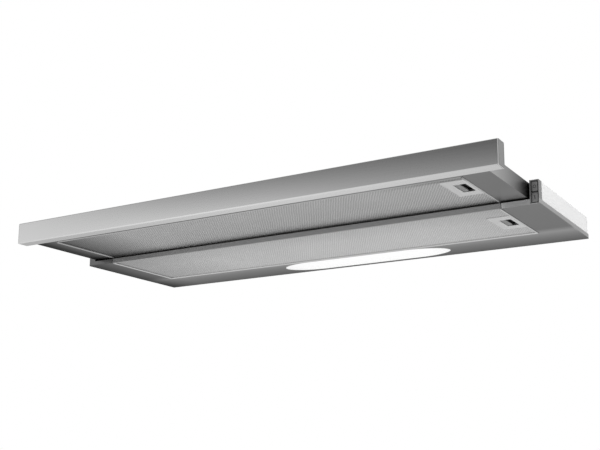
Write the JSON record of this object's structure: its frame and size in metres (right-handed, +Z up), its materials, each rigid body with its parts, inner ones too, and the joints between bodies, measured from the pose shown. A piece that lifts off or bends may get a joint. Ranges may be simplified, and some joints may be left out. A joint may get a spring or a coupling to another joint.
{
  "type": "pull out range hood",
  "caption": "Built-in range hood with a pull-out filter drawer behind a steel front bar, mesh grease filters, a lamp, push buttons and a low blower with a duct spigot.",
  "frame": {"origin": "middle of the bounding box, on the underside of the fixed body, with the drawer pulled out", "axes": "+X along the front bar to the side with the push buttons, +Y to the back of the cabinet, +Z up"},
  "size_m": [0.898, 0.434, 0.144],
  "materials": {
    "bar_steel": "brushed along its length",
    "bar_cap_grey": "satin grey",
    "body_steel": "brushed",
    "drawer_steel": "brushed",
    "plain_steel": "zinc plated",
    "motor_steel": "pressed steel",
    "filter_rim": "satin",
    "filter_mesh": "fine expanded mesh",
    "handle_grey": "satin light grey",
    "panel_grey": "satin dark grey",
    "button_grey": "satin dark grey with a plain symbol",
    "white_paint": "white powder coat",
    "rail_plastic": "light grey",
    "black_plastic": "black",
    "wheel_grey": "dark grey",
    "rubber": "black",
    "circuit_board": "green board with white lamps",
    "lamp_glow": "opal, lit from behind"
  },
  "bodies": {
    "hood_body": {"bottom_frame": "body_steel", "chassis_shell": "white_paint", "plenum_box": "white_paint", "left_end_piece": "body_steel", "right_end_piece": "panel_grey", "left_rail": "rail_plastic", "right_rail": "rail_plastic", "fixing_nuts": "plain_steel", "switch_module": "black_plastic", "drawer_switch": "black_plastic", "drawer_buffers": "rubber", "lower_filter_frame": "filter_rim", "lower_filter_mesh": "filter_mesh", "lower_filter_handle": "handle_grey", "lamp_housing": "white_paint", "led_board": "circuit_board", "lamp_lens": "lamp_glow", "inlet_ring": "black_plastic", "inlet_guard": "plain_steel", "blower_casing": "black_plastic", "blower_lid": "black_plastic", "fan_motor": "motor_steel", "motor_buffers": "rubber", "exhaust_spigot": "black_plastic", "terminal_box": "white_paint", "terminal_box_lid": "white_paint", "terminal_block": "rail_plastic", "run_capacitor": "rail_plastic", "led_driver": "black_plastic", "cable_gland": "black_plastic", "frame_screws": "plain_steel", "blower_screws": "plain_steel"},
    "drawer": {"front_bar": "bar_steel", "bar_cap_left": "bar_cap_grey", "bar_cap_right": "bar_cap_grey", "bar_brackets": "plain_steel", "bar_screws": "plain_steel", "drawer_frame": "drawer_steel", "drawer_cover": "drawer_steel", "left_runner": "black_plastic", "right_runner": "black_plastic", "upper_filter_frame": "filter_rim", "upper_filter_mesh": "filter_mesh", "upper_filter_handle": "handle_grey"},
    "light_key": {"light_button": "button_grey"},
    "fan_key": {"fan_button": "button_grey"},
    "upper_catch": {"upper_latch": "handle_grey"},
    "lower_catch": {"lower_latch": "handle_grey"},
    "wheel": {"fan_wheel": "wheel_grey", "motor_shaft": "motor_steel"},
    "left_flap": {"flap_left": "wheel_grey"},
    "right_flap": {"flap_right": "wheel_grey"}
  },
  "joints": [
    {"name": "drawer_slide", "type": "slide", "parent": "hood_body", "child": "drawer", "axis": [0, 1, 0], "range_m": [0, 0.154]},
    {"name": "light_button_press", "type": "slide", "parent": "hood_body", "child": "light_key", "axis": [0, 1, 0], "range_m": [0, 0.002], "stiffness_N_per_m": 500, "springref_m": -0.001},
    {"name": "fan_button_press", "type": "slide", "parent": "hood_body", "child": "fan_key", "axis": [0, 1, 0], "range_m": [0, 0.002], "stiffness_N_per_m": 500, "springref_m": -0.001},
    {"name": "upper_latch_slide", "type": "slide", "parent": "drawer", "child": "upper_catch", "axis": [-1, 0, 0], "range_m": [0, 0.005], "stiffness_N_per_m": 400, "springref_m": -0.002},
    {"name": "lower_latch_slide", "type": "slide", "parent": "hood_body", "child": "lower_catch", "axis": [-1, 0, 0], "range_m": [0, 0.005], "stiffness_N_per_m": 400, "springref_m": -0.002},
    {"name": "wheel_spin", "type": "hinge", "parent": "hood_body", "child": "wheel", "pos_m": [-0.075, 0.112, 0.083], "axis": [0, 0, 1], "continuous": true},
    {"name": "left_flap_hinge", "type": "hinge", "parent": "hood_body", "child": "left_flap", "pos_m": [0.083, 0.12, 0.1149], "axis": [0, 1, 0], "range_deg": [0, 75]},
    {"name": "right_flap_hinge", "type": "hinge", "parent": "hood_body", "child": "right_flap", "pos_m": [0.087, 0.12, 0.1149], "axis": [0, -1, 0], "range_deg": [0, 75]}
  ]
}
